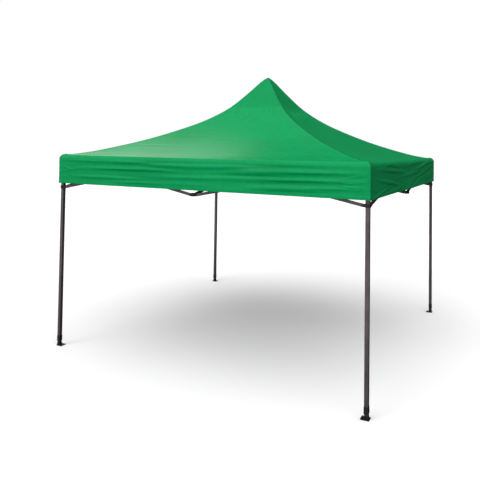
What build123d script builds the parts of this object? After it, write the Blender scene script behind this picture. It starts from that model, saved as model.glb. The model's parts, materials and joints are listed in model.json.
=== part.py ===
from build123d import *
import os

# Pop up canopy, 3 x 3 m class: four telescoping legs, a ring of scissor trusses, a centre cross of
# scissor trusses with a sprung peak mast, and a fabric cover with valances.
#
# Millimetres. +Z is up, the feet stand on z = 0, and the Z axis runs down the middle of the peak mast.
# X runs along the front side and Y towards the back. Every quadrant is the front one turned by 90 degrees.

# ---- driving dimensions ------------------------------------------------------------------------
COVER_WIDTH = 3000.0
HEM_Z = 1539.0
EAVE_Z = 1808.0
PEAK_Z = 2661.0
# half width and height of the square rings that shape the roof, from the peak to the eaves
ROOF_RINGS = [(0, PEAK_Z), (40, 2632), (300, 2320), (500, 2170), (900, 1975), (1320, 1836), (1500, EAVE_Z)]
CLOTH_T = 1.2

LEG_CENTRE = 1470.0
OUTER_LEG = 30.0
OUTER_LEG_FOOT_Z = 40.0
INNER_LEG = 25.0
INNER_LEG_TOP_Z = 1000.0
LEG_WALL = 1.2

UPPER_PIVOT_Z = 1785.0
LOWER_PIVOT_Z = 1500.0
LEG_PIVOT = 32.0  # from the centre of a leg to the pivots beside it
MID_SIDE_PIVOT = 28.0  # from the centre of a mid bracket to the pivots of the side trusses
MID_CENTRE_PIVOT = 30.0  # from the centre of a mid bracket to the pivot of the centre truss
HUB_PIVOT = 30.0  # from the peak mast to the pivots of the centre trusses

BAR_H = 24.0
BAR_T = 12.0
BAR_WALL = 0.8
BAR_OFFSET = 7.0  # each bar of a scissor pair stands this far to one side of the truss line

RIVET_R = 3.0
RIVET_HOLE_R = 3.08
RIVET_HEAD_R = 6.0
RIVET_HEAD_T = 1.6

CHEEK_T = 3.0
CHEEK_R = 11.0
CHEEK_GAP = 0.5  # between a bar and the cheek beside it
BRACKET_DOWN = 12.0  # how far a bracket reaches below its pivots
BRACKET_UP = 16.0  # how far it reaches above them
LEG_CAP_Z = 1803.0
SLEEVE_WALL = 3.0
SLIDER_GAP = 0.4
SLIDER_TAIL = 14.0

MAST_R = 11.0
MAST_FOOT_Z = 1490.0
MAST_TOP_Z = 2250.0
MAST_TIP_R = 9.5
MAST_TIP_FOOT_Z = 1950.0
MAST_WALL = 1.2
CAP_R = 22.0
CAP_CENTRE_Z = 2631.0
CAP_SKIRT = 34.0

FOOT_PLATE = 65.0
FOOT_PLATE_T = 3.0
FOOT_INWARD = 10.0  # how far the plate's centre lies inside the leg's centre, along X and Y
PEG_HOLE_R = 5.0
PEG_HOLE_INWARD = 30.0
FOOT_SOCKET_H = 26.0
COLLAR_H = 52.0
COLLAR_WALL = 1.5
PIN_R = 4.0
PIN_GAP = 0.3
KNOB_R = 7.0
KNOB_T = 4.0

# ---- worked out from them ------------------------------------------------------------------------
SPAN = LEG_CENTRE - LEG_PIVOT - MID_SIDE_PIVOT
RISE = UPPER_PIVOT_Z - LOWER_PIVOT_Z
BAR = Vector(SPAN, RISE)
CROSS_Z = (UPPER_PIVOT_Z + LOWER_PIVOT_Z) / 2
TILT = BAR.get_angle(Vector(1, 0))
CHEEK_REACH = BAR_T / 2 + CHEEK_GAP  # from a bar's middle to the inner face of a cheek
CORE = BAR_OFFSET + CHEEK_REACH + CHEEK_T  # half width of a hub or mid bracket
MID_CORE = 13.0  # half width of a mid bracket along its side trusses, clear of their bar ends

SIDES = ["front", "right", "back", "left"]
CORNERS = ["front_right", "back_right", "back_left", "front_left"]


# ---- shapes used more than once ------------------------------------------------------------------
def block(x0, x1, y0, y1, z0, z1):
    """A box between two corners."""
    middle = Pos((x0 + x1) / 2, (y0 + y1) / 2, (z0 + z1) / 2)
    return middle * Box(x1 - x0, y1 - y0, z1 - z0)


def square_tube(width, wall, z0, z1):
    """An upright square tube about the Z axis."""
    bore = width / 2 - wall
    return block(-width / 2, width / 2, -width / 2, width / 2, z0, z1) - block(-bore, bore, -bore, bore, z0, z1)


def rod(radius, length, centre, axis):
    """A cylinder centred on a point, along a named axis."""
    turn = {"X": Rot(0, 90, 0), "Y": Rot(90, 0, 0), "Z": Rot(0, 0, 0)}[axis]
    return Pos(*centre) * turn * Cylinder(radius, length)


def rivet(grip, centre, axis):
    """A solid rivet with a flat head at each end of what it grips."""
    heads = [Pos(0, 0, side * (grip + RIVET_HEAD_T) / 2) * Cylinder(RIVET_HEAD_R, RIVET_HEAD_T) for side in (-1, 1)]
    turn = {"X": Rot(0, 90, 0), "Y": Rot(90, 0, 0)}[axis]
    return Pos(*centre) * turn * (Cylinder(RIVET_R, grip + RIVET_HEAD_T) + heads[0] + heads[1])


def round_plate(start_x, pivot_x, y0, y1, pivot_z):
    """A bracket's cheek: a plate from its core out to a round end about the pivot."""
    middle_y = (y0 + y1) / 2
    plate = block(start_x, pivot_x, y0, y1, pivot_z - CHEEK_R, pivot_z + CHEEK_R)
    plate += rod(CHEEK_R, y1 - y0, (pivot_x, middle_y, pivot_z), "Y")
    return plate - rod(RIVET_HOLE_R, y1 - y0 + 1, (pivot_x, middle_y, pivot_z), "Y")


def clevis(start_x, pivot_x, offset, pivot_z):
    """Two cheeks that hold a bar end on the +X side of a bracket, and the rivet through them."""
    inner = offset - CHEEK_REACH
    outer = offset + CHEEK_REACH
    cheeks = [
        round_plate(start_x, pivot_x, inner - CHEEK_T, inner, pivot_z),
        round_plate(start_x, pivot_x, outer, outer + CHEEK_T, pivot_z),
    ]
    return cheeks, rivet(2 * (CHEEK_REACH + CHEEK_T), (pivot_x, offset, pivot_z), "Y")


def bracket(core, arms, pivot_z):
    """A moulded bracket as one solid, with its rivets as separate solids.

    Each arm is (heading in degrees, where it leaves the core, pivot distance, bar offset).
    """
    body = core
    rivets = []
    for heading, start, pivot, offset in arms:
        cheeks, pin = clevis(start, pivot, offset, pivot_z)
        body = body + [Rot(0, 0, heading) * cheek for cheek in cheeks]
        rivets.append(Rot(0, 0, heading) * pin)
    return [body, *rivets]


def bar(slope):
    """One truss bar about its middle pivot, along X, with its +X end down for a slope of 1."""
    tube = extrude(Plane.XZ * SlotCenterToCenter(BAR.length, BAR_H), BAR_T / 2, both=True)
    tube -= Box(BAR.length + 2 * BAR_H, BAR_T - 2 * BAR_WALL, BAR_H - 2 * BAR_WALL)
    for place in (-BAR.length / 2, 0, BAR.length / 2):
        tube -= rod(RIVET_HOLE_R, 2 * BAR_T, (place, 0, 0), "Y")
    return Rot(0, slope * TILT, 0) * tube


def truss(start, heading, first_pivot, down_side):
    """A scissor pair: the bar that falls outwards, with the middle rivet, and the one that rises."""
    middle = Pos(*start, CROSS_Z) * Rot(0, 0, heading) * Pos(first_pivot + SPAN / 2, 0, 0)
    spacer_t = 2 * BAR_OFFSET - BAR_T
    spacer = rod(2 * RIVET_R, spacer_t - 0.4, (0, 0, 0), "Y") - rod(RIVET_HOLE_R, spacer_t, (0, 0, 0), "Y")
    pin = rivet(2 * BAR_OFFSET + BAR_T + 0.4, (0, 0, 0), "Y")
    down = [Pos(0, down_side * BAR_OFFSET, 0) * bar(1), pin, spacer]
    up = [Pos(0, -down_side * BAR_OFFSET, 0) * bar(-1)]
    return [middle * solid for solid in down], [middle * solid for solid in up]


# ---- hubs and mid brackets -----------------------------------------------------------------------
def hub(pivot_z, bar_side, bore_r):
    """A centre hub: a square core with a bore for the mast, and four clevises."""
    core = block(-CORE, CORE, -CORE, CORE, pivot_z - BRACKET_DOWN, pivot_z + BRACKET_UP)
    core -= Pos(0, 0, pivot_z) * Cylinder(bore_r, 4 * BAR_H)
    arms = [(90 * turn, CORE, HUB_PIVOT, bar_side * BAR_OFFSET) for turn in range(4)]
    return bracket(core, arms, pivot_z)


def mid_bracket(pivot_z, side_bar_side):
    """The bracket halfway along a side, about its own centre: two side clevises and one inward."""
    z0 = pivot_z - BRACKET_DOWN
    z1 = pivot_z + BRACKET_UP
    core = block(-MID_CORE, MID_CORE, -CORE, CORE, z0, z1)
    centre_offset = -side_bar_side * BAR_OFFSET
    shoulder_x = centre_offset - side_bar_side * (CHEEK_REACH + CHEEK_T)
    shoulder_y = CHEEK_REACH + CHEEK_T - BAR_OFFSET + CHEEK_GAP if side_bar_side < 0 else CORE - CHEEK_T
    core += block(min(shoulder_x, 0), max(shoulder_x, 0), shoulder_y, CORE, z0, z1)
    arms = [
        (0, MID_CORE, MID_SIDE_PIVOT, side_bar_side * BAR_OFFSET),
        (180, MID_CORE, MID_SIDE_PIVOT, -side_bar_side * BAR_OFFSET),
        (90, CORE, MID_CENTRE_PIVOT, side_bar_side * BAR_OFFSET),
    ]
    return bracket(core, arms, pivot_z)


# ---- legs ----------------------------------------------------------------------------------------
def outer_leg():
    """The outer tube, with the plastic collar at its foot that carries the height pin."""
    tube = square_tube(OUTER_LEG, LEG_WALL, OUTER_LEG_FOOT_Z, LEG_CAP_Z - SLEEVE_WALL)
    width = OUTER_LEG + 2 * COLLAR_WALL
    z0 = OUTER_LEG_FOOT_Z
    collar = square_tube(width, COLLAR_WALL, z0, z0 + COLLAR_H)
    hole = rod(PIN_R + PIN_GAP, width, (width / 2, 0, z0 + COLLAR_H / 2), "X")
    return [tube - hole, collar - hole]


def leg_top_bracket():
    """The cap on a leg's top, with the two clevises of the rising bars."""
    half = OUTER_LEG / 2 + SLEEVE_WALL
    core = square_tube(2 * half, SLEEVE_WALL, UPPER_PIVOT_Z - 2 * BRACKET_DOWN, LEG_CAP_Z)
    core += block(-half, half, -half, half, LEG_CAP_Z - SLEEVE_WALL, LEG_CAP_Z)
    arms = [(180, half, LEG_PIVOT, -BAR_OFFSET), (90, half, LEG_PIVOT, BAR_OFFSET)]
    return bracket(core, arms, UPPER_PIVOT_Z)


def slider():
    """The bracket that runs on a leg, with the two clevises of the falling bars and a pin boss."""
    half = OUTER_LEG / 2 + SLIDER_GAP + SLEEVE_WALL
    z0 = LOWER_PIVOT_Z - SLIDER_TAIL
    core = square_tube(2 * half, SLEEVE_WALL, z0, LOWER_PIVOT_Z + BRACKET_UP)
    core -= rod(PIN_R + PIN_GAP, SLEEVE_WALL * 2, (half, 0, LOWER_PIVOT_Z), "X")
    arms = [(180, half, LEG_PIVOT, BAR_OFFSET), (90, half, LEG_PIVOT, -BAR_OFFSET)]
    return bracket(core, arms, LOWER_PIVOT_Z)


def pull_pin(tip_x, face_x, z):
    """A sprung lock pin with a round knob, standing on the +X face of its housing."""
    knob_x = face_x + PIN_GAP + KNOB_T / 2
    shank = rod(PIN_R, knob_x - tip_x, ((tip_x + knob_x) / 2, 0, z), "X")
    return [shank + rod(KNOB_R, KNOB_T, (knob_x, 0, z), "X")]


def slider_pull_pin():
    """The pin that locks a slider when the canopy is up."""
    tip = OUTER_LEG / 2 + PIN_GAP
    return pull_pin(tip, OUTER_LEG / 2 + SLIDER_GAP + SLEEVE_WALL, LOWER_PIVOT_Z)


def height_pin():
    """The pin that locks the inner leg at its height."""
    z = OUTER_LEG_FOOT_Z + COLLAR_H / 2
    return pull_pin(INNER_LEG / 2 + PIN_GAP, OUTER_LEG / 2 + COLLAR_WALL, z)


def inner_leg():
    """The inner tube, the foot socket round its end, and the foot plate with its peg hole."""
    tube = square_tube(INNER_LEG, LEG_WALL, FOOT_PLATE_T, INNER_LEG_TOP_Z)
    socket = square_tube(INNER_LEG + 2 * SLEEVE_WALL, SLEEVE_WALL, FOOT_PLATE_T, FOOT_PLATE_T + FOOT_SOCKET_H)
    outline = Pos(-FOOT_INWARD, FOOT_INWARD) * RectangleRounded(FOOT_PLATE, FOOT_PLATE, SLEEVE_WALL)
    outline -= Pos(-PEG_HOLE_INWARD, PEG_HOLE_INWARD) * Circle(PEG_HOLE_R)
    return [tube, socket, extrude(outline, FOOT_PLATE_T)]


# ---- mast and cover ------------------------------------------------------------------------------
def upper_hub():
    """The hub the cover and the centre trusses hang from, and the fixed tube of the peak mast."""
    tube = Pos(0, 0, MAST_FOOT_Z) * extrude(Circle(MAST_R) - Circle(MAST_R - MAST_WALL), MAST_TOP_Z - MAST_FOOT_Z)
    return [*hub(UPPER_PIVOT_Z, -1, MAST_R), tube]


def peak_mast():
    """The sprung upper tube of the mast and the domed cap that bears on the cover."""
    cap_z0 = CAP_CENTRE_Z - CAP_SKIRT
    tube_z1 = CAP_CENTRE_Z - CAP_R / 2
    tube = Pos(0, 0, MAST_TIP_FOOT_Z) * extrude(Circle(MAST_TIP_R) - Circle(MAST_TIP_R - MAST_WALL), tube_z1 - MAST_TIP_FOOT_Z)
    cap = Pos(0, 0, cap_z0) * extrude(Circle(CAP_R), CAP_SKIRT) + Pos(0, 0, CAP_CENTRE_Z) * Sphere(CAP_R)
    socket = Pos(0, 0, cap_z0) * extrude(Circle(MAST_TIP_R + RIVET_HOLE_R - RIVET_R), tube_z1 - cap_z0)
    return [tube, cap - socket]


def roof_panel(inner, outer):
    """The front gore's strip between two square rings of the roof, as a sheet of cloth."""
    (t0, z0), (t1, z1) = inner, outer
    corners = [(-t1, -t1, z1), (t1, -t1, z1), (t0, -t0, z0)]
    if t0 > 0:
        corners.append((-t0, -t0, z0))
    strip = Face(Wire.make_polygon([Vector(*corner) for corner in corners], close=True))
    return extrude(strip, CLOTH_T, dir=(0, 0, -1))


def cover():
    """The whole cover as plain sheets that meet edge to edge: four gores and four valances."""
    half = COVER_WIDTH / 2
    gore = [roof_panel(inner, outer) for inner, outer in zip(ROOF_RINGS, ROOF_RINGS[1:])]
    valance = block(-half, half - CLOTH_T, -half, CLOTH_T - half, HEM_Z, EAVE_Z - CLOTH_T)
    return [Rot(0, 0, 90 * turn) * sheet for turn in range(4) for sheet in (*gore, valance)]


# ---- the assembly --------------------------------------------------------------------------------
def quadrant(turn):
    """Every piece that belongs to one side and the corner it leads to."""
    side = SIDES[turn]
    ahead = SIDES[(turn + 1) % 4]
    behind = SIDES[(turn - 1) % 4]
    corner = CORNERS[turn]
    mid = (0, -LEG_CENTRE)
    centre_down, centre_up = truss((0, 0), -90, HUB_PIVOT, -1)
    ahead_down, ahead_up = truss(mid, 0, MID_SIDE_PIVOT, -1)
    behind_down, behind_up = truss(mid, 180, MID_SIDE_PIVOT, 1)
    at_mid = Pos(*mid, 0)
    at_leg = Pos(LEG_CENTRE, -LEG_CENTRE, 0)
    pieces = {
        f"{side}_centre_down_bar": centre_down,
        f"{side}_centre_up_bar": centre_up,
        f"{side}_upper_mid_bracket": [at_mid * solid for solid in mid_bracket(UPPER_PIVOT_Z, -1)],
        f"{side}_lower_mid_bracket": [at_mid * solid for solid in mid_bracket(LOWER_PIVOT_Z, 1)],
        f"{side}_truss_{ahead}_down_bar": ahead_down,
        f"{side}_truss_{ahead}_up_bar": ahead_up,
        f"{side}_truss_{behind}_down_bar": behind_down,
        f"{side}_truss_{behind}_up_bar": behind_up,
        f"{corner}_outer_leg": [at_leg * solid for solid in outer_leg()],
        f"{corner}_leg_top_bracket": [at_leg * solid for solid in leg_top_bracket()],
        f"{corner}_slider": [at_leg * solid for solid in slider()],
        f"{corner}_slider_pull_pin": [at_leg * solid for solid in slider_pull_pin()],
        f"{corner}_inner_leg": [at_leg * solid for solid in inner_leg()],
        f"{corner}_height_pin": [at_leg * solid for solid in height_pin()],
    }
    return {name: [Rot(0, 0, 90 * turn) * solid for solid in solids] for name, solids in pieces.items()}


def assembly():
    """Every node of the canopy."""
    nodes = {
        "upper_hub": upper_hub(),
        "lower_hub": hub(LOWER_PIVOT_Z, 1, MAST_R + SLIDER_GAP),
        "peak_mast": peak_mast(),
        "cover": cover(),
    }
    for turn in range(4):
        nodes.update(quadrant(turn))
    return nodes


os.makedirs("parts", exist_ok=True)
for node, solids in assembly().items():
    export_step(Compound(children=[solid for shape in solids for solid in shape.solids()]), f"parts/{node}.step")
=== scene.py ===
# Looks of the pop up canopy: its sewn cover, its frame's finishes, the studio and the camera.
# Metres, in the CAD frame: X along the front side, Y towards the back, Z up, feet on z = 0.

import json
import math

import bpy
import numpy as np
from mathutils import Matrix, Vector


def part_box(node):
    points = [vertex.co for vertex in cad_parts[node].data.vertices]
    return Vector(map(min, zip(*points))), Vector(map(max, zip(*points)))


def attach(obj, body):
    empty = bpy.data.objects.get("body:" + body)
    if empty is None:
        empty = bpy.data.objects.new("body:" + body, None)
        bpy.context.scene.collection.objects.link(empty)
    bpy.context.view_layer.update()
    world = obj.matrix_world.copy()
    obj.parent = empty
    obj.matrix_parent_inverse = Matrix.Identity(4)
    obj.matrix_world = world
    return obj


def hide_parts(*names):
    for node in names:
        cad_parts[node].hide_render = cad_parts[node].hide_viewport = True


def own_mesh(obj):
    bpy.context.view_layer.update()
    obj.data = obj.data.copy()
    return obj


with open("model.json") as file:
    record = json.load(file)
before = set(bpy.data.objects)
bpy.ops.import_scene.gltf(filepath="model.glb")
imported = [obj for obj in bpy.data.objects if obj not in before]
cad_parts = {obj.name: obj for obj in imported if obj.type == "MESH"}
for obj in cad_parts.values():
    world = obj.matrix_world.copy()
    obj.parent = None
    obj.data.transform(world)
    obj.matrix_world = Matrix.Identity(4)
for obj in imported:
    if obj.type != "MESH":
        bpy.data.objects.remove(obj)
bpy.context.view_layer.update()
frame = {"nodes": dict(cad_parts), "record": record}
NODES = frame["nodes"]

# ---- driving sizes, read from the frame where it holds them --------------------------------------
COVER_LOW, COVER_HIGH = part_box("cover")
HALF = COVER_HIGH.x  # half the cover's width
HEM_Z = COVER_LOW.z
EAVE_Z = 1.808
VALANCE = EAVE_Z - HEM_Z

# height of the hips over half width, from the peak's shoulder to the corner
HIP_T = [0.00, 0.03, 0.06, 0.15, 0.30, 0.50, 0.70, 0.90, 1.15, 1.32, 1.45, 1.50]
HIP_Z = [2.661, 2.643, 2.607, 2.492, 2.322, 2.172, 2.066, 1.976, 1.886, 1.836, 1.812, 1.808]
GORE_SAG = 0.018  # how far the middle of a gore hangs below its hips
GORE_LENGTH = 1.79  # from the peak to the eave, down the middle of a gore
FAN_X, FAN_Q = 1.46, 1.77  # where the pulls at a gore's corner start
PANEL_Q = 0.43  # how far down a gore the pulls below the doubled panel start

# long soft folds of a valance: where each starts and ends along it and below the eave, width, height
BROAD_FOLDS = [
    ((-1.46, 0.045), (-0.30, 0.055), 0.022, 0.0050),
    ((-1.40, 0.118), (-0.10, 0.110), 0.020, 0.0055),
    ((-1.45, 0.190), (-0.35, 0.205), 0.018, 0.0050),
    ((-0.55, 0.075), (0.85, 0.065), 0.024, 0.0060),
    ((0.05, 0.110), (1.60, 0.080), 0.022, 0.0070),
    ((0.30, 0.165), (1.60, 0.140), 0.018, 0.0060),
    ((0.55, 0.215), (1.60, 0.195), 0.016, 0.0050),
    ((-0.60, 0.170), (0.70, 0.160), 0.020, 0.0045),
]

REINFORCE_T = 0.285  # half width of the doubled panel at the peak
TIP_PATCH_T = 0.045  # half width of the patch at the tip
LAYER_T = 0.0012  # how far a doubled layer of cloth stands out
SEAM_W = 0.011
HEM_W = 0.024
HEM_GAP = 0.0016  # between the valance and the hem turned up behind it
EAVE_RADIUS = 0.034  # of the soft fold between roof and valance

WEAVE_PITCH = 0.0011
STITCH_PITCH = 0.0045
STITCH_HALF = 0.0006  # half the width of a row of stitches
HIP_SHADE_HALF = 0.0075  # half the width of the painted shade in the crease along a hip

# heights where the frame's moulded nylon parts begin or end
COLLAR_TOP_Z = 0.0925
SOCKET_TOP_Z = 0.0295
MAST_CAP_Z = 2.596
UPPER_HUB_BAND = (1.772, 1.802)
BELOW_ALL, ABOVE_ALL = -1.0, 4.0
LEG_SHADE_Z = 0.9  # painted shade: the outer legs' colour darkens from here down

TUBE_COAT = ((0.062, 0.048, 0.055), (0.102, 0.080, 0.092))
INNER_TUBE_COAT = ((0.016, 0.015, 0.016), (0.034, 0.032, 0.034))
BAR_COAT = ((0.052, 0.045, 0.050), (0.090, 0.078, 0.086))
ROLLED_EDGES = {"outer_leg_tube": 0.0032, "inner_leg_tube": 0.0026, "truss_bar": 0.0018}

SKY_FROM = (-0.20, -0.72, 0.66)  # the way to the brightest part of the surround
SKY_DIM = 0.04
SKY_BRIGHT = 1.0
FLOOR_REACH = 40

STRIPS = 8  # strips that each gore is cut into
STRIP_COLUMNS = 20


# ---- camera --------------------------------------------------------------------------------------
def make_camera():
    """Close to eye height, looking across the near right corner."""
    place = Vector((2.456, -5.350, 1.892))
    yaw, pitch, roll = math.radians(27.456), math.radians(1.78), math.radians(0.855)
    level = Vector((-math.sin(yaw), math.cos(yaw), 0)) * math.cos(pitch)
    forward = level + Vector((0, 0, math.sin(pitch)))
    right = Vector((math.cos(yaw), math.sin(yaw), 0))
    up = right.cross(forward)
    rolled_right = right * math.cos(roll) + up * math.sin(roll)
    rolled_up = up * math.cos(roll) - right * math.sin(roll)
    data = bpy.data.cameras.new("camera")
    data.sensor_width = 36
    data.lens = 40.91
    data.shift_x = -0.0016
    data.shift_y = -0.2256
    camera = bpy.data.objects.new("camera", data)
    bpy.context.scene.collection.objects.link(camera)
    turn = Matrix((rolled_right, rolled_up, -forward)).transposed()
    camera.matrix_world = Matrix.Translation(place) @ turn.to_4x4()
    bpy.context.scene.camera = camera


# ---- node helpers --------------------------------------------------------------------------------
class Nodes:
    """Short calls for building one material's nodes."""

    def __init__(self, name):
        self.material = bpy.data.materials.new(name)
        self.material.use_nodes = True
        self.tree = self.material.node_tree
        self.shader = self.tree.nodes["Principled BSDF"]

    def add(self, kind, inputs=None, **settings):
        """A node, with its settings, and with inputs that are values or other nodes' outputs."""
        node = self.tree.nodes.new(kind)
        for key, value in settings.items():
            setattr(node, key, value)
        for key, value in (inputs or {}).items():
            self.feed(node.inputs[key], value)
        return node

    def feed(self, socket, value):
        """Sets a socket to a value, or links it to an output."""
        if isinstance(value, bpy.types.NodeSocket):
            self.tree.links.new(value, socket)
        else:
            socket.default_value = value

    def math(self, operation, *values, clamp=False):
        """One arithmetic step."""
        node = self.add("ShaderNodeMath", operation=operation, use_clamp=clamp)
        for socket, value in zip(node.inputs, values):
            self.feed(socket, value)
        return node.outputs[0]

    def noise(self, vector, scale, detail=3.0, roughness=0.5):
        """A noise pattern's value."""
        values = {"Vector": vector, "Scale": scale, "Detail": detail, "Roughness": roughness}
        return self.add("ShaderNodeTexNoise", values).outputs["Fac"]

    def ramp(self, value, stops):
        """A colour ramp through (position, colour) stops."""
        node = self.add("ShaderNodeValToRGB", {"Fac": value})
        points = node.color_ramp.elements
        for spare in range(len(stops) - len(points)):
            points.new(0.5 + 0.1 * spare)
        for point, (position, colour) in zip(points, stops):
            point.position = position
            point.color = (*colour, 1)
        return node.outputs["Color"]

    def mix(self, factor, first, second):
        """A mix of two colours."""
        node = self.add("ShaderNodeMix", data_type="RGBA")
        self.feed(node.inputs["Factor"], factor)
        for socket, value in zip((node.inputs[6], node.inputs[7]), (first, second)):
            self.feed(socket, value if isinstance(value, bpy.types.NodeSocket) else (*value, 1))
        return node.outputs[2]

    def bump(self, height, strength, distance, normal=None):
        """A bump from a height in metres times distance."""
        values = {"Height": height, "Strength": strength, "Distance": distance}
        if normal:
            values["Normal"] = normal
        return self.add("ShaderNodeBump", values).outputs["Normal"]

    def place(self):
        """Where a point is, in the object's own coordinates, in metres."""
        return self.add("ShaderNodeTexCoord").outputs["Object"]

    def attribute(self, name):
        """A number stored on the mesh."""
        return self.add("ShaderNodeAttribute", attribute_name=name).outputs["Fac"]

    def blend(self, factor, first, second):
        """A mix of two numbers."""
        values = {0: factor, 2: first, 3: second}
        return self.add("ShaderNodeMix", values, data_type="FLOAT").outputs[0]

    def dashes(self, value, pitch):
        """1 over most of each pitch along value, and 0 in the gaps between."""
        turns = self.math("MULTIPLY", value, 1 / pitch)
        return self.math("GREATER_THAN", self.math("FRACT", turns), 0.3)

    def rows(self, value, first, second):
        """1 on two rows of stitches, at two values."""
        near = self.band(value, first, STITCH_HALF)
        far = self.band(value, second, STITCH_HALF)
        return self.math("ADD", near, far, clamp=True)

    def threads(self, value):
        """The wave of the weave along value."""
        return self.math("SINE", self.math("MULTIPLY", value, 2 * math.pi / WEAVE_PITCH))

    def band(self, value, centre, half_width):
        """1 where value lies within half_width of centre, and 0 elsewhere."""
        return self.math("COMPARE", value, centre, half_width)


# ---- materials -----------------------------------------------------------------------------------
def cloth_material():
    """Coated green polyester: fine weave, soft sheen, faded patches, doubled seams with stitches."""
    n = Nodes("cover_cloth")
    place = n.place()
    uv = n.add("ShaderNodeUVMap", uv_map="cloth").outputs["UV"]
    split = n.add("ShaderNodeSeparateXYZ", {"Vector": uv})
    across, along = split.outputs[0], split.outputs[1]
    from_hem = n.attribute("from_hem")
    from_hip = n.attribute("from_hip")
    layers = n.attribute("layers")

    patches = n.noise(place, 1.7, 3)
    mottle = n.noise(place, 24, 4, 0.6)
    green = n.ramp(patches, [(0.3, (0.0, 0.235, 0.066)), (0.7, (0.0, 0.270, 0.080))])
    shade = n.ramp(mottle, [(0.35, (0.93, 0.93, 0.93)), (0.65, (1.03, 1.03, 1.03))])
    shaded = n.add("ShaderNodeMix", data_type="RGBA", blend_type="MULTIPLY")
    n.feed(shaded.inputs["Factor"], 1.0)
    n.feed(shaded.inputs[6], green)
    n.feed(shaded.inputs[7], shade)
    colour = n.mix(n.math("MULTIPLY", layers, 0.2), shaded.outputs[2], (0.0, 0.16, 0.045))

    # two rows of stitches along each seam, and two along the hem
    on_seam = n.math("MULTIPLY", n.rows(from_hip, 0.003, SEAM_W - 0.002), n.dashes(along, STITCH_PITCH))
    on_hem = n.math("MULTIPLY", n.rows(from_hem, HEM_W - 0.003, 0.003), n.dashes(across, STITCH_PITCH))
    stitches = n.math("ADD", on_seam, on_hem, clamp=True)
    colour = n.mix(n.math("MULTIPLY", stitches, 0.6), colour, (0.01, 0.46, 0.17))
    # painted shade: a dark band along each hip and down each corner of the valance, standing in for the
    # shade in the seam's crease
    crease = n.band(from_hip, 0.0, HIP_SHADE_HALF)
    colour = n.mix(n.math("MULTIPLY", crease, 0.75), colour, (0.0, 0.085, 0.025))
    n.feed(n.shader.inputs["Base Color"], colour)

    n.shader.inputs["Specular IOR Level"].default_value = 0.06
    n.feed(n.shader.inputs["Roughness"], n.math("MULTIPLY_ADD", mottle, 0.10, 0.31))

    fine = n.bump(n.math("MULTIPLY", n.threads(across), n.threads(along)), 0.22, 0.0002)
    crumple = n.noise(place, 55, 5, 0.6)
    soft = n.bump(crumple, 0.22, 0.003, fine)
    thread = n.bump(stitches, 0.6, 0.0006, soft)
    n.feed(n.shader.inputs["Normal"], thread)
    return n.material


def nylon(n, place):
    """Colour, roughness and grain height of black glass-filled nylon."""
    cloud = n.noise(place, 30, 4, 0.6)
    colour = n.ramp(cloud, [(0.3, (0.003, 0.003, 0.0032)), (0.7, (0.009, 0.009, 0.0095))])
    scuffs = n.math("GREATER_THAN", n.noise(place, 120, 5, 0.75), 0.68)
    colour = n.mix(n.math("MULTIPLY", scuffs, 0.2), colour, (0.05, 0.05, 0.052))
    roughness = n.math("MULTIPLY_ADD", cloud, 0.2, 0.42)
    return colour, roughness, n.noise(place, 900, 2, 0.5)


def powder_coat(name, coat, plastic=None, painted_shade_below=0.0):
    """Hammered powder coat on steel, and black nylon in the (from, to) heights of plastic."""
    n = Nodes(name)
    dark, light = coat
    place = n.place()
    height = n.add("ShaderNodeSeparateXYZ", {"Vector": place}).outputs[2]
    cells = n.add("ShaderNodeTexVoronoi", {"Vector": place, "Scale": 260.0}, feature="SMOOTH_F1")
    streaks = n.noise(place, 9, 4, 0.6)
    colour = n.ramp(streaks, [(0.3, dark), (0.7, light)])
    if painted_shade_below:
        # painted shade: the coat's colour darkens towards the feet, standing in for shade on the lower
        # legs
        low = n.math("SUBTRACT", 1.0, n.math("MULTIPLY", height, 1 / painted_shade_below), clamp=True)
        colour = n.mix(n.math("MULTIPLY", low, 0.62), colour, (0.012, 0.011, 0.012))
    scuffs = n.math("GREATER_THAN", n.noise(place, 85, 6, 0.75), 0.70)
    colour = n.mix(n.math("MULTIPLY", scuffs, 0.3), colour, (0.16, 0.15, 0.15))
    roughness = n.math("MULTIPLY_ADD", streaks, 0.2, 0.36)
    bump = n.math("MULTIPLY", cells.outputs["Distance"], 0.35)
    if plastic:
        middle, half = (plastic[0] + plastic[1]) / 2, (plastic[1] - plastic[0]) / 2
        mask = n.band(height, middle, half)
        black, plain, grain = nylon(n, place)
        colour = n.mix(mask, colour, black)
        roughness = n.blend(mask, roughness, plain)
        bump = n.blend(mask, bump, n.math("MULTIPLY", grain, 0.12))
    n.feed(n.shader.inputs["Base Color"], colour)
    n.shader.inputs["Metallic"].default_value = 0.1
    n.shader.inputs["Specular IOR Level"].default_value = 0.25
    n.shader.inputs["Coat Weight"].default_value = 0.05
    n.shader.inputs["Coat Roughness"].default_value = 0.25
    n.feed(n.shader.inputs["Roughness"], roughness)
    n.feed(n.shader.inputs["Normal"], n.bump(bump, 1.0, 0.0006))
    return n.material


def moulded_plastic(name):
    """Black nylon brackets, with a fine moulded grain and a few scuffs."""
    n = Nodes(name)
    colour, roughness, grain = nylon(n, n.place())
    n.shader.inputs["Specular IOR Level"].default_value = 0.3
    n.feed(n.shader.inputs["Base Color"], colour)
    n.feed(n.shader.inputs["Roughness"], roughness)
    n.feed(n.shader.inputs["Normal"], n.bump(grain, 0.25, 0.0003))
    return n.material


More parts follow.
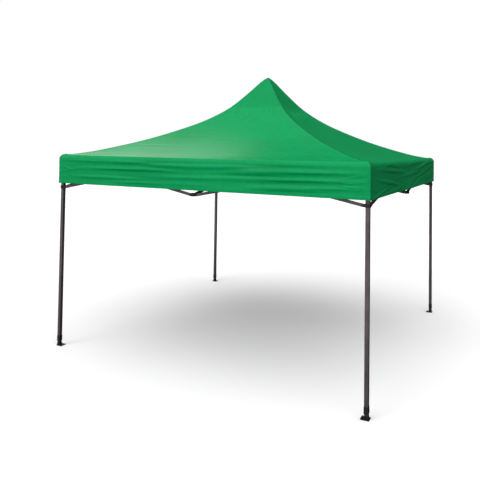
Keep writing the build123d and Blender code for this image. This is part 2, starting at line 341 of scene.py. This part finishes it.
def finish_frame():
    """Gives every CAD node of the frame its finish, and the tubes their rolled edges."""
    slots = {entry["node"]: entry["material_slot"] for entry in frame["record"]["subparts"]}
    finishes = {
        "truss_bar": powder_coat("truss_bar", BAR_COAT),
        "outer_leg_tube": powder_coat("outer_leg_tube", TUBE_COAT, (0.0, COLLAR_TOP_Z), LEG_SHADE_Z),
        "inner_leg_tube": powder_coat("inner_leg_tube", INNER_TUBE_COAT, (BELOW_ALL, SOCKET_TOP_Z)),
        "mast_tube": powder_coat("mast_tube", TUBE_COAT, (MAST_CAP_Z, ABOVE_ALL)),
        "bracket_plastic": moulded_plastic("bracket_plastic"),
        "lock_pin": moulded_plastic("lock_pin"),
    }
    upper_hub = powder_coat("upper_hub_and_mast", TUBE_COAT, UPPER_HUB_BAND)
    for name, node in NODES.items():
        if slots[name] not in finishes:
            continue
        node.data.materials.clear()
        node.data.materials.append(upper_hub if name == "upper_hub" else finishes[slots[name]])
        if slots[name] in ROLLED_EDGES:
            bevel = node.modifiers.new("rolled edges", "BEVEL")
            bevel.width = ROLLED_EDGES[slots[name]]
            bevel.segments = 2
            bevel.limit_method = "ANGLE"
            bevel.angle_limit = math.radians(60)


# ---- cover: shape --------------------------------------------------------------------------------
def smooth(x):
    """0 to 1 with flat ends."""
    x = np.clip(x, 0, 1)
    return x * x * (3 - 2 * x)


def monotone(x, points, values):
    """A smooth curve through points that never overshoots them."""
    px, py = np.array(points), np.array(values)
    step = np.diff(px)
    slope = np.diff(py) / step
    tangent = np.zeros(len(px))
    inner = slope[:-1] * slope[1:] > 0
    weight_a, weight_b = 2 * step[1:] + step[:-1], step[1:] + 2 * step[:-1]
    mean = (weight_a + weight_b) / (weight_a / slope[:-1] + weight_b / slope[1:])
    tangent[1:-1] = np.where(inner, mean, 0)
    tangent[0], tangent[-1] = 0, slope[-1] * 0.5
    k = np.clip(np.searchsorted(px, x) - 1, 0, len(step) - 1)
    s = (x - px[k]) / step[k]
    near = (1 + 2 * s) * (1 - s) ** 2 * py[k] + s * (1 - s) ** 2 * step[k] * tangent[k]
    return near + s * s * (3 - 2 * s) * py[k + 1] + s * s * (s - 1) * step[k] * tangent[k + 1]


def ridge(x, y, start, end, width, height):
    """A soft wrinkle along a line: a ridge with a shallow trough on each side."""
    ax, ay = start
    dx, dy = end[0] - ax, end[1] - ay
    length = math.hypot(dx, dy)
    s = ((x - ax) * dx + (y - ay) * dy) / length**2
    across = ((x - ax) * dy - (y - ay) * dx) / length
    across = across + 0.12 * width * np.sin(7 * s)
    taper = np.sin(np.pi * np.clip(s, 0, 1)) ** 1.3
    d = across / width
    return height * taper * (1 - 0.9 * d * d) * np.exp(-d * d)


def roof_wrinkles(x, q, rng):
    """Height of the wrinkles on a gore, at x along the eave and q down from the peak."""
    lift = np.zeros_like(x)
    half_at = q * HALF / GORE_LENGTH
    for _ in range(30):  # short pulls below the doubled panel
        side = rng.uniform(-0.95, 0.95)
        start = (side * 0.27, PANEL_Q + rng.uniform(-0.01, 0.03))
        run = rng.uniform(0.10, 0.30)
        end = (start[0] + run * (0.75 * side + rng.uniform(-0.35, 0.35)), start[1] + run)
        lift += ridge(x, q, start, end, rng.uniform(0.009, 0.017), rng.uniform(0.0012, 0.0034))
    for _ in range(14):  # long level ripples across the lower roof
        level = rng.uniform(0.8, 1.72)
        reach = level * 0.8
        centre = rng.uniform(-reach, reach)
        half = rng.uniform(0.2, 0.5)
        start = (centre - half, level + rng.uniform(-0.02, 0.02))
        end = (centre + half, level + rng.uniform(-0.02, 0.02))
        lift += ridge(x, q, start, end, rng.uniform(0.014, 0.034), rng.uniform(0.0006, 0.0020))
    for side in (-1, 1):
        for _ in range(5):  # pulls that fan out of each corner
            start = (side * FAN_X, FAN_Q)
            angle = rng.uniform(0.08, 0.62)
            run = rng.uniform(0.35, 0.9)
            end = (side * (FAN_X - run * math.cos(angle)), FAN_Q - run * math.sin(angle))
            lift += ridge(x, q, start, end, rng.uniform(0.012, 0.026), rng.uniform(0.0008, 0.0024))
        for _ in range(7):  # creases that run along the hips
            at = rng.uniform(0.45, 1.5)
            start = (side * at * 0.80, at)
            end = (side * (at + 0.3) * 0.82, at + 0.3)
            lift += ridge(x, q, start, end, rng.uniform(0.012, 0.02), rng.uniform(0.0005, 0.0015))
    inside = smooth((half_at - np.abs(x)) / 0.05)
    return lift * inside


def valance_wrinkles(x, drop, gore, rng):
    """How far the valance stands out, at x along it and drop below the eave."""
    lift = np.zeros_like(x)
    slant = 0.0 if gore % 2 == 0 else 0.11
    for _ in range(22):
        centre = rng.uniform(-1.35, 1.35)
        half = rng.uniform(0.18, 0.60)
        level = rng.uniform(0.02, VALANCE - 0.02)
        tilt = slant * rng.uniform(0.3, 1.3) + rng.uniform(-0.03, 0.03)
        start = (centre - half, level + tilt * half)
        end = (centre + half, level - tilt * half)
        lift += ridge(x, drop, start, end, rng.uniform(0.010, 0.022), rng.uniform(0.0014, 0.0044))
    for start, end, width, height in BROAD_FOLDS:
        if gore % 2:
            start, end = (start[0], start[1] + 0.05 * start[0]), (end[0], end[1] - 0.06 * end[0])
        lift += ridge(x, drop, start, end, width, height)
    for side in (-1, 1):  # pulls at the corners
        for _ in range(4):
            start = (side * 1.49, rng.uniform(0.03, 0.22))
            run = rng.uniform(0.10, 0.32)
            end = (side * (1.49 - run), start[1] + rng.uniform(-0.05, 0.07))
            lift += ridge(x, drop, start, end, rng.uniform(0.007, 0.013), rng.uniform(0.0016, 0.0036))
    wave = 0.004 * np.sin(2.1 * x + gore) + 0.0025 * np.sin(5.3 * x + 2 * gore)
    return lift + wave * smooth(drop / VALANCE)


def ring_rows():
    """The roof's half widths from peak to eave, closer together at the peak, seam and eave."""
    rows = [0.0, 0.004, 0.009, 0.014, 0.02, 0.027, 0.034, 0.040, TIP_PATCH_T, TIP_PATCH_T + 0.002]
    rows += list(np.linspace(0.056, REINFORCE_T - 0.006, 24))
    rows += [REINFORCE_T, REINFORCE_T + 0.002, REINFORCE_T + 0.006]
    rows += list(np.linspace(REINFORCE_T + 0.014, HALF - 0.045, 116))
    return np.array(rows)


def gore_columns(t):
    """Positions along one ring of half width t: close together at both hips, even between them."""
    room = np.minimum(1, t / 0.12)
    edge = np.array([0.0, 0.0022, 0.0055, SEAM_W, SEAM_W + 0.002, 0.022]) * room
    inner = np.linspace(-1, 1, STRIPS * STRIP_COLUMNS + 1) * (t - edge[-1])
    return np.concatenate([-t + edge[:-1], inner, (t - edge[:-1])[::-1]])


EDGE_COLUMNS = 5
EAVE_ROW = len(ring_rows()) + 4


def gore_grid(gore):
    """One gore and its valance as rows of points, with the numbers that its material reads."""
    rng = np.random.default_rng(40 + gore)
    roof_t = ring_rows()
    turn = np.linspace(0, 1, 9)[1:]
    hanging = np.linspace(EAVE_RADIUS + 0.008, VALANCE - HEM_W - 0.004, 40)
    at_hem = [VALANCE - HEM_W, VALANCE - HEM_W + 0.002, VALANCE - 0.012, VALANCE - 0.003, VALANCE]
    drops = np.concatenate([hanging, at_hem])
    rows = []
    q = 0.0
    last = None
    for t in roof_t:
        z = float(monotone(np.array([t]), HIP_T, HIP_Z)[0])
        if last is not None:
            q += math.hypot(t - last[0], z - last[1])
        last = (t, z)
        rows.append({"t": t, "z": z, "q": q, "drop": 0.0, "fold": 0.0})
    for share in turn:  # roll from the roof's slope to upright
        angle = share * math.pi / 2
        t = HALF - EAVE_RADIUS + EAVE_RADIUS * math.sin(angle)
        z_flat = float(monotone(np.array([min(t, HALF)]), HIP_T, HIP_Z)[0])
        z = z_flat - EAVE_RADIUS * (1 - math.cos(angle))
        q += math.hypot(t - last[0], z - last[1])
        last = (t, z)
        rows.append({"t": t, "z": z, "q": q, "drop": EAVE_RADIUS * share, "fold": share})
    eave_q = q
    for drop in drops:
        q = eave_q + drop - EAVE_RADIUS
        rows.append({"t": HALF, "z": EAVE_Z - drop, "q": q, "drop": drop, "fold": 1.0})

    x = np.array([gore_columns(row["t"]) for row in rows])
    t, z, q, drop, fold = [
        np.array([row[key] for row in rows])[:, None] for key in ("t", "z", "q", "drop", "fold")
    ]
    q, drop, fold = q + 0 * x, drop + 0 * x, fold + 0 * x
    u = np.divide(x, t, out=np.zeros_like(x), where=t > 0)

    # round the tip: near the peak the rings turn from squares to circles
    roundness = smooth(1 - (t - 0.010) / 0.055)
    circle = 1 / np.sqrt(1 + u * u)
    pull = 1 + roundness * (circle * 1.12 - 1)
    y = -t * pull
    x_out = x * pull
    belly = GORE_SAG * (1 - u * u) * np.sin(np.pi * np.clip(t / HALF, 0, 1)) ** 0.8
    # each leg's cap pushes the corner up a little
    cap = 0.007 * np.exp(-((np.abs(x) - HALF + 0.035) ** 2 + (t - HALF + 0.035) ** 2) / 0.0012)
    height = z - belly * (1 - fold) + cap * (1 - fold)
    points = np.stack([x_out, y + 0 * x, height + 0 * x], -1)

    # stand-off along the surface's own direction: up and out on the roof, straight out on the valance
    rising_t = np.maximum.accumulate(t[:, 0] + 1e-9 * np.arange(len(rows)))
    slope = np.clip(np.gradient(z[:, 0], rising_t), -3, 0)[:, None]
    out_y = -np.where(fold > 0, np.sin(fold * math.pi / 2), -slope / np.sqrt(1 + slope**2))
    out_z = np.where(fold > 0, np.cos(fold * math.pi / 2), 1 / np.sqrt(1 + slope**2))
    out = np.stack([0 * x, out_y + 0 * x, out_z + 0 * x], -1)

    below_panel = smooth((t - REINFORCE_T) / 0.08)
    roof = roof_wrinkles(x, q, rng) * smooth((1 - fold) * below_panel + 0 * x)
    hang = valance_wrinkles(x, drop, gore, rng) * smooth(drop / 0.05)
    from_hip = np.maximum(t - np.abs(x), 0)
    near_corner = smooth(from_hip / 0.06)
    lift = (roof + hang) * near_corner
    ring = t + 0 * x
    layers = (ring < REINFORCE_T + 0.001).astype(float) + (ring < TIP_PATCH_T + 0.001)
    hem = (drop >= VALANCE - HEM_W - 0.0005).astype(float)
    seam = (from_hip < SEAM_W + 0.0005) * (t > 0.05)
    lift = lift + LAYER_T * (layers + hem + 0.9 * seam)
    points = points + out * lift[..., None]

    # the hem turns under and up inside the valance
    inner_drops = [VALANCE - 0.001, VALANCE - 0.012, VALANCE - HEM_W]
    turned_up = [points[-1] + np.array([0, HEM_GAP, VALANCE - level]) for level in inner_drops]
    points = np.concatenate([points, np.array(turned_up)])
    pad = len(turned_up)
    numbers = {
        "from_hem": np.concatenate([VALANCE - drop, np.repeat((VALANCE - drop)[-1:], pad, 0)]),
        "from_hip": np.concatenate([from_hip, np.repeat(from_hip[-1:], pad, 0)]),
        "layers": np.concatenate([layers, np.repeat(layers[-1:], pad, 0)]),
        "q": np.concatenate([q, q[-1:] + 0.01 * np.arange(1, pad + 1)[:, None]]),
        "x": np.concatenate([x, np.repeat(x[-1:], pad, 0)]),
    }
    return points, numbers


def turned(points, quarter):
    """Points of the front gore, turned to their own side."""
    c, s = [(1, 0), (0, 1), (-1, 0), (0, -1)][quarter]
    x, y = points[..., 0].copy(), points[..., 1].copy()
    out = points.copy()
    out[..., 0] = c * x - s * y
    out[..., 1] = s * x + c * y
    return out


def grid_normals(grids):
    """Smooth normals of the whole cover, averaged across the hips and the peak."""
    normals = []
    for points in grids:
        down = np.gradient(points, axis=0)
        along = np.gradient(points, axis=1)
        normal = np.cross(down, along)
        normals.append(normal * np.sign(normal[40:60, :, 2].mean()))
    normals = [n / np.maximum(np.linalg.norm(n, axis=-1, keepdims=True), 1e-12) for n in normals]
    for k in range(4):
        ahead = (k + 1) % 4
        shared = normals[k][:, -1] + normals[ahead][:, 0]
        shared /= np.maximum(np.linalg.norm(shared, axis=-1, keepdims=True), 1e-12)
        normals[k][:, -1] = shared
        normals[ahead][:, 0] = shared
    for n in normals:
        n[0] = (0, 0, 1)
    return normals


def strip_mesh(name, parts):
    """One mesh from pieces of the gore grids, with its normals and material numbers."""
    vertices, faces, normals, uvs = [], [], [], []
    numbers = {"from_hem": [], "from_hip": [], "layers": []}
    for points, normal, values in parts:
        rows, columns = points.shape[:2]
        base = len(vertices)
        vertices += points.reshape(-1, 3).tolist()
        normals += normal.reshape(-1, 3).tolist()
        uvs += np.stack([values["x"], values["q"]], -1).reshape(-1, 2).tolist()
        for key in numbers:
            numbers[key] += values[key].reshape(-1).tolist()
        for r in range(rows - 1):
            for c in range(columns - 1):
                a = base + r * columns + c
                faces.append((a, a + columns, a + columns + 1, a + 1))
    mesh = bpy.data.meshes.new(name)
    mesh.from_pydata(vertices, [], faces)
    layer = mesh.uv_layers.new(name="cloth")
    corner_vertices = np.zeros(len(mesh.loops), np.int32)
    mesh.loops.foreach_get("vertex_index", corner_vertices)
    layer.data.foreach_set("uv", np.array(uvs)[corner_vertices].astype(np.float32).ravel())
    for key, values in numbers.items():
        attribute = mesh.attributes.new(key, "FLOAT", "POINT")
        attribute.data.foreach_set("value", np.array(values, np.float32))
    mesh.shade_smooth()
    mesh.normals_split_custom_set_from_vertices(normals)
    return mesh


def cloth_area(points):
    """Area of a grid of points."""
    a, b, c, d = points[:-1, :-1], points[1:, :-1], points[1:, 1:], points[:-1, 1:]
    first = np.linalg.norm(np.cross(b - a, c - a), axis=-1)
    second = np.linalg.norm(np.cross(c - a, d - a), axis=-1)
    return float((first + second).sum() / 2)


def make_cover():
    """The sewn cover, in strips that meet edge to edge, hung from the upper hub."""
    material = cloth_material()
    grids, numbers = [], []
    for gore in range(4):
        points, values = gore_grid(gore)
        grids.append(turned(points, gore))
        numbers.append(values)
    for k in range(4):  # the gores share their hip points
        ahead = (k + 1) % 4
        shared = (grids[k][:, -1] + grids[ahead][:, 0]) / 2
        grids[k][:, -1] = shared
        grids[ahead][:, 0] = shared
    peak = np.mean([grid[0].mean(axis=0) for grid in grids], axis=0)
    for grid in grids:
        grid[0] = peak
    normals = grid_normals(grids)

    tip_row = int(np.searchsorted(ring_rows(), TIP_PATCH_T)) + 1

    def part(gore, rows, columns):
        """A patch of one gore's grid: its points, normals and numbers."""
        values = {key: value[rows, columns] for key, value in numbers[gore].items()}
        return grids[gore][rows, columns], normals[gore][rows, columns], values

    def piece(name, parts, flat=None):
        """A piece of the cover that hangs from the upper hub."""
        made = bpy.data.objects.new(name, strip_mesh(name, parts))
        bpy.context.scene.collection.objects.link(made)
        made.data.materials.append(material)
        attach(made, "upper_hub")
        area = sum(cloth_area(points) for points, _, _ in parts)
        flat = flat or (1.1 * math.sqrt(area), 1.1 * math.sqrt(area))
        return made

    tip_parts = [part(gore, slice(0, tip_row + 1), slice(None)) for gore in range(4)]
    tip = piece("cover_tip", tip_parts)
    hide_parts("cover")
    for gore in range(4):
        for index in range(STRIPS):
            first = 0 if index == 0 else EDGE_COLUMNS + index * STRIP_COLUMNS
            last = EDGE_COLUMNS + (index + 1) * STRIP_COLUMNS + 1
            last = grids[gore].shape[1] if index == STRIPS - 1 else last
            parts = [part(gore, slice(tip_row, None), slice(first, last))]
            points, _, values = parts[0]
            eave = points[EAVE_ROW - tip_row]
            width = float(np.linalg.norm(eave[0] - eave[-1]))
            length = float(values["q"].max() - values["q"].min())
            made = piece(f"cover_strip_{gore * STRIPS + index + 1:02d}", parts, (width, length))
            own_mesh(made)


# ---- studio --------------------------------------------------------------------------------------
def link_light(name, kind, energy, toward):
    """A lamp that shines in the direction toward."""
    data = bpy.data.lights.new(name, kind)
    data.energy = energy
    lamp = bpy.data.objects.new(name, data)
    bpy.context.scene.collection.objects.link(lamp)
    lamp.rotation_mode = "QUATERNION"
    lamp.rotation_quaternion = Vector(toward).to_track_quat("-Z", "Y")
    return lamp


def make_studio():
    """A pale floor, a white surround and soft lights, strongest from above and the left."""
    world = bpy.data.worlds.new("studio")
    bpy.context.scene.world = world
    bpy.context.scene.view_settings.view_transform = "Standard"
    world.use_nodes = True
    tree = world.node_tree
    background = tree.nodes["Background"]
    way = tree.nodes.new("ShaderNodeTexCoord").outputs["Generated"]
    toward = tree.nodes.new("ShaderNodeVectorMath")
    toward.operation = "DOT_PRODUCT"
    tree.links.new(way, toward.inputs[0])
    toward.inputs[1].default_value = Vector(SKY_FROM).normalized()
    glow = tree.nodes.new("ShaderNodeMapRange")
    glow.interpolation_type = "SMOOTHSTEP"
    tree.links.new(toward.outputs["Value"], glow.inputs["Value"])
    limits = {"From Min": -0.3, "From Max": 1.0, "To Min": SKY_DIM, "To Max": SKY_BRIGHT}
    for key, value in limits.items():
        glow.inputs[key].default_value = value
    seen = tree.nodes.new("ShaderNodeLightPath").outputs["Is Camera Ray"]
    pick = tree.nodes.new("ShaderNodeMath")
    pick.operation = "MAXIMUM"
    tree.links.new(glow.outputs["Result"], pick.inputs[0])
    tree.links.new(seen, pick.inputs[1])
    tree.links.new(pick.outputs[0], background.inputs["Strength"])
    background.inputs["Color"].default_value = (1, 1, 1, 1)

    mesh = bpy.data.meshes.new("floor")
    corners = [(x * FLOOR_REACH, y * FLOOR_REACH, 0) for x, y in ((-1, -1), (1, -1), (1, 1), (-1, 1))]
    mesh.from_pydata(corners, [], [(0, 1, 2, 3)])
    floor = bpy.data.objects.new("floor", mesh)
    bpy.context.scene.collection.objects.link(floor)
    n = Nodes("studio_floor")
    n.shader.inputs["Base Color"].default_value = (0.935, 0.935, 0.935, 1)
    n.shader.inputs["Roughness"].default_value = 0.9
    mesh.materials.append(n.material)
    floor.visible_diffuse = False
    floor.visible_glossy = False

    overhead = link_light("overhead", "SUN", 1.9, (-0.42, 0.10, -1))
    overhead.data.angle = math.radians(110)
    front = link_light("front", "SUN", 1.30, (0.34, 0.82, -0.40))
    front.data.angle = math.radians(40)
    # a tall soft box behind the left side, which only the cover's sheen picks up
    place = Vector((-6.1, 5.6, 5.3))
    sheen = link_light("sheen", "AREA", 125, Vector((0, 0, 1.9)) - place)
    sheen.location = place
    sheen.data.shape = "RECTANGLE"
    sheen.data.size, sheen.data.size_y = 4.2, 5.0
    sheen.visible_diffuse = False


make_camera()
make_studio()
finish_frame()
make_cover()

bpy.context.view_layer.update()
